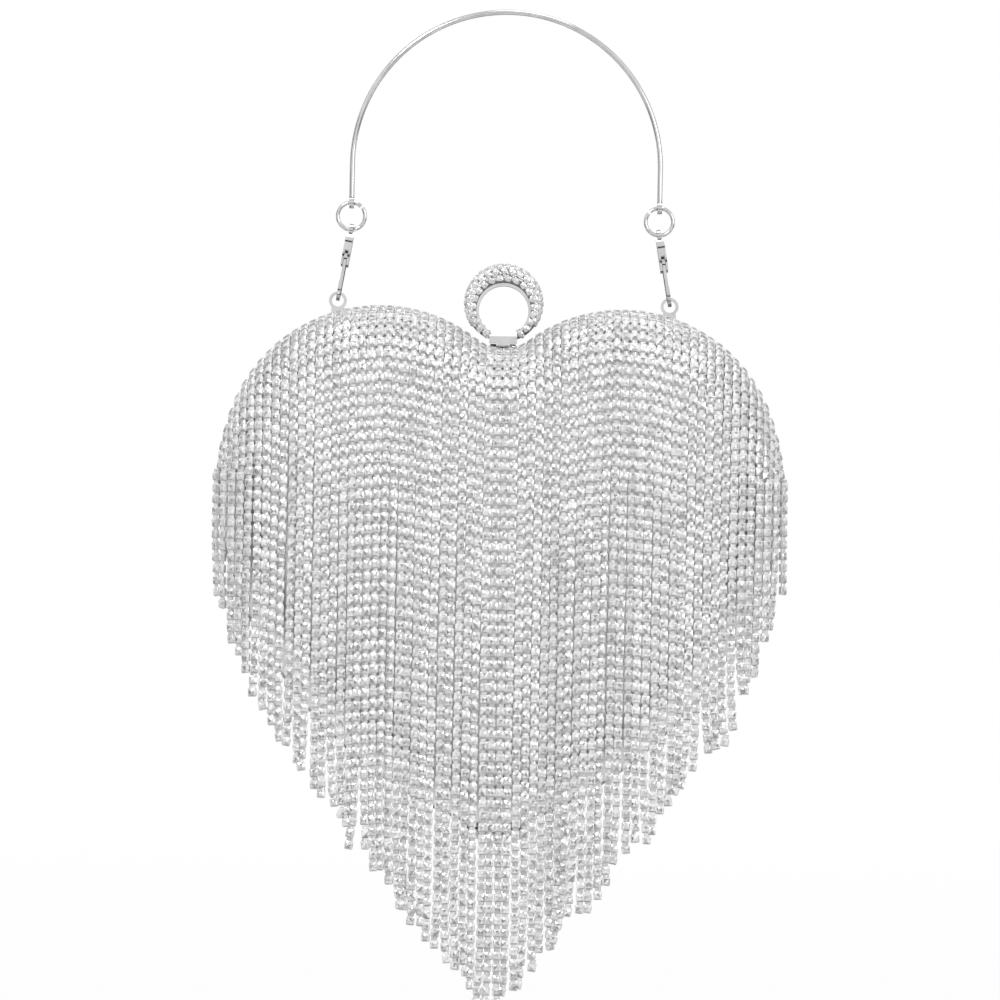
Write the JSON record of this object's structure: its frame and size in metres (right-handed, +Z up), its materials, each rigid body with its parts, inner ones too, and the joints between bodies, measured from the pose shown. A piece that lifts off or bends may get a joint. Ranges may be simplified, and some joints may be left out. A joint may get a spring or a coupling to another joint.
{
  "type": "heart shaped purse",
  "caption": "Hard heart-shaped evening purse covered in crystal strands that hang loose below as a fringe, with a wire handle on snap clasps, a finger-ring catch and a bottom hinge.",
  "frame": {"origin": "underside of the handle's apex, where the purse hangs from a hand", "axes": "+X to the right seen from the front, +Y to the back, +Z up"},
  "size_m": [0.2014, 0.0535, 0.3532],
  "materials": {
    "metal": "polished plate",
    "crystal": "foiled crystals in bright cups",
    "cover_cloth": "satin, glued",
    "lining_cloth": "satin, glued",
    "shell_board": "moulded"
  },
  "bodies": {
    "handle": {"handle_wire": "metal"},
    "rings": {"left_ring": "metal", "right_ring": "metal"},
    "clasps": {"left_clasp_body": "metal", "left_gate_pin": "metal", "left_gate_spring": "metal", "right_clasp_body": "metal", "right_gate_pin": "metal", "right_gate_spring": "metal"},
    "left_gate": {"left_clasp_gate": "metal"},
    "right_gate": {"right_clasp_gate": "metal"},
    "back_half": {"back_frame": "metal", "back_shell": "shell_board", "back_lining": "lining_cloth", "back_cover": "cover_cloth", "back_stone_mat": "crystal", "back_hinge_leaf": "metal", "hinge_pin": "metal", "left_lug": "metal", "right_lug": "metal", "latch_bracket": "metal", "latch_pin": "metal", "latch_spring": "metal"},
    "front_half": {"front_frame": "metal", "front_shell": "shell_board", "front_lining": "lining_cloth", "front_cover": "cover_cloth", "front_stone_mat": "crystal", "front_hinge_leaf": "metal", "keeper": "metal"},
    "latch": {"finger_ring": "metal", "latch_knuckle": "metal", "ring_stones": "crystal", "latch_tongue": "metal"},
    "fringe_centre": {"fringe_centre": "crystal"},
    "fringe_inner": {"fringe_inner": "crystal"},
    "fringe_middle": {"fringe_middle": "crystal"},
    "fringe_outer": {"fringe_outer": "crystal"},
    "fringe_side": {"fringe_side": "crystal"},
    "fringe_edge": {"fringe_edge": "crystal"}
  },
  "joints": [
    {"name": "ring_swing", "type": "hinge", "parent": "handle", "child": "rings", "pos_m": [-0.0544, 0, -0.0673], "axis": [1, 0, 0], "range_deg": [-60, 60]},
    {"name": "clasp_swing", "type": "hinge", "parent": "rings", "child": "clasps", "pos_m": [-0.0544, 0, -0.07695], "axis": [1, 0, 0], "range_deg": [-45, 45]},
    {"name": "case_swing", "type": "hinge", "parent": "clasps", "child": "back_half", "pos_m": [-0.0586, 0, -0.10149], "axis": [1, 0, 0], "range_deg": [-35, 35]},
    {"name": "left_gate_press", "type": "hinge", "parent": "clasps", "child": "left_gate", "pos_m": [-0.05602, -0.0017, -0.08641], "axis": [0.9857, 0, -0.1687], "range_deg": [0, 22], "stiffness_Nm_per_rad": 0.002, "springref_deg": -17.19, "deforming": ["left_gate_spring"]},
    {"name": "right_gate_press", "type": "hinge", "parent": "clasps", "child": "right_gate", "pos_m": [0.05602, -0.0017, -0.08641], "axis": [0.9857, 0, 0.1687], "range_deg": [0, 22], "stiffness_Nm_per_rad": 0.002, "springref_deg": -17.19, "deforming": ["right_gate_spring"]},
    {"name": "front_open", "type": "hinge", "parent": "back_half", "child": "front_half", "pos_m": [0, -0.0012, -0.28905], "axis": [1, 0, 0], "range_deg": [0, 70]},
    {"name": "ring_tilt", "type": "hinge", "parent": "back_half", "child": "latch", "pos_m": [0, 0.0012, -0.1174], "axis": [-1, 0, 0], "range_deg": [0, 18], "stiffness_Nm_per_rad": 0.12, "springref_deg": -8.59, "deforming": ["latch_spring"]},
    {"name": "fringe_centre_hang", "type": "hinge", "parent": "front_half", "child": "fringe_centre", "pos_m": [0, -0.027, -0.20722], "axis": [-1, 0, 0], "range_deg": [0, 70]},
    {"name": "fringe_inner_hang", "type": "hinge", "parent": "front_half", "child": "fringe_inner", "pos_m": [0, -0.027, -0.16922], "axis": [-1, 0, 0], "range_deg": [0, 70]},
    {"name": "fringe_middle_hang", "type": "hinge", "parent": "front_half", "child": "fringe_middle", "pos_m": [0, -0.027, -0.15122], "axis": [-1, 0, 0], "range_deg": [0, 70]},
    {"name": "fringe_outer_hang", "type": "hinge", "parent": "front_half", "child": "fringe_outer", "pos_m": [0, -0.027, -0.14122], "axis": [-1, 0, 0], "range_deg": [0, 70]},
    {"name": "fringe_side_hang", "type": "hinge", "parent": "front_half", "child": "fringe_side", "pos_m": [0, -0.027, -0.16122], "axis": [-1, 0, 0], "range_deg": [0, 70]},
    {"name": "fringe_edge_hang", "type": "hinge", "parent": "front_half", "child": "fringe_edge", "pos_m": [0, -0.0244, -0.16322], "axis": [-1, 0, 0], "range_deg": [0, 70]}
  ],
  "couplings": [
    {"joint": "fringe_centre_hang", "follows": "front_open", "ratio": 1},
    {"joint": "fringe_inner_hang", "follows": "front_open", "ratio": 1},
    {"joint": "fringe_middle_hang", "follows": "front_open", "ratio": 1},
    {"joint": "fringe_outer_hang", "follows": "front_open", "ratio": 1},
    {"joint": "fringe_side_hang", "follows": "front_open", "ratio": 1},
    {"joint": "fringe_edge_hang", "follows": "front_open", "ratio": 1}
  ]
}
